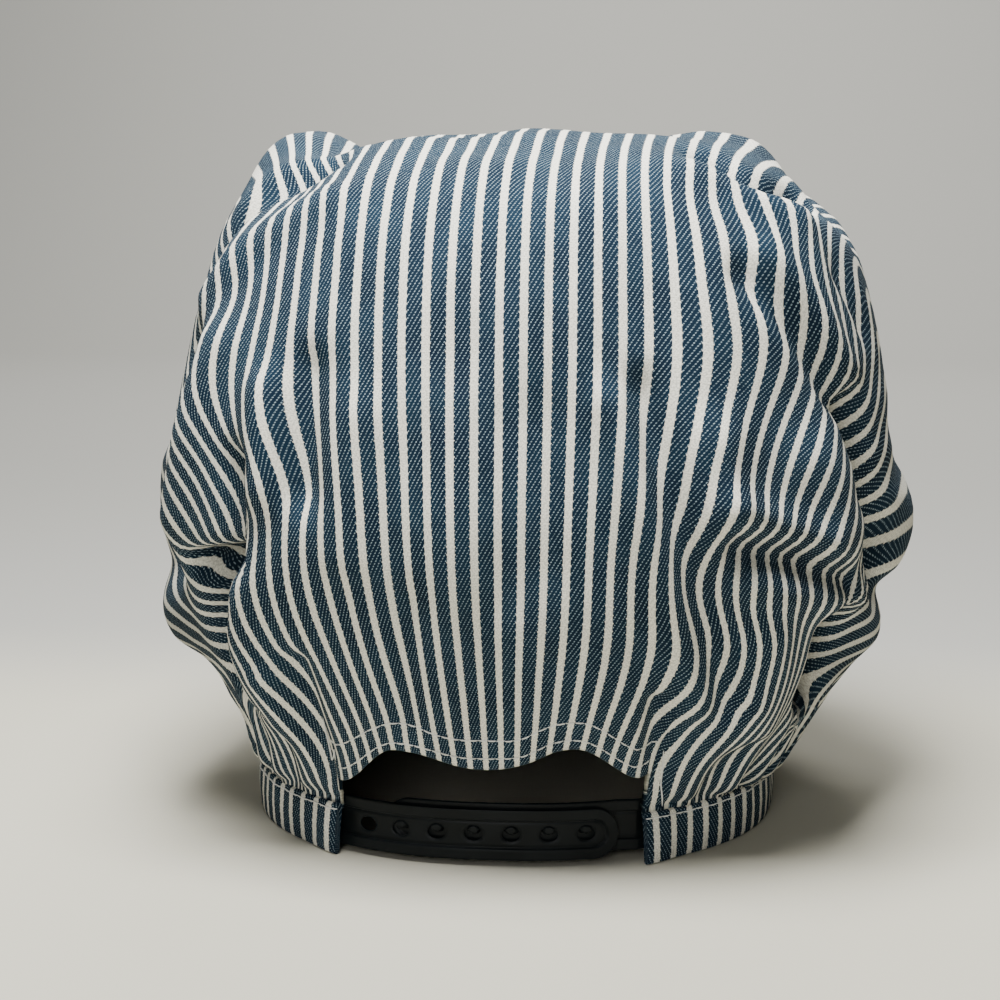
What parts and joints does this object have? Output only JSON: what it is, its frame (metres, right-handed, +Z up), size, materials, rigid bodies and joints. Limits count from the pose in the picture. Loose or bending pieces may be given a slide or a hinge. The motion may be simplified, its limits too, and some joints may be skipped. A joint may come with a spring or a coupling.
{
  "type": "railroad engineer cap",
  "caption": "Soft striped-cloth work cap with a tall gathered crown, narrow band, short brim and an adjustable snap strap across the rear opening.",
  "frame": {"origin": "under the middle of the cap's box, on the surface that the cap stands on", "axes": "+Z up, the brim points to -Y and the rear opening with its strap faces +Y"},
  "size_m": [0.2518, 0.2726, 0.2231],
  "materials": {
    "striped_cloth": "indigo and ivory striped twill, dry",
    "snap_plastic": "black moulded plastic, satin",
    "white_thread": "white cotton sewing thread"
  },
  "bodies": {
    "root": {"crown": "striped_cloth", "band": "striped_cloth", "brim": "striped_cloth", "strap_outer": "snap_plastic", "strap_inner": "snap_plastic"}
  },
  "joints": []
}
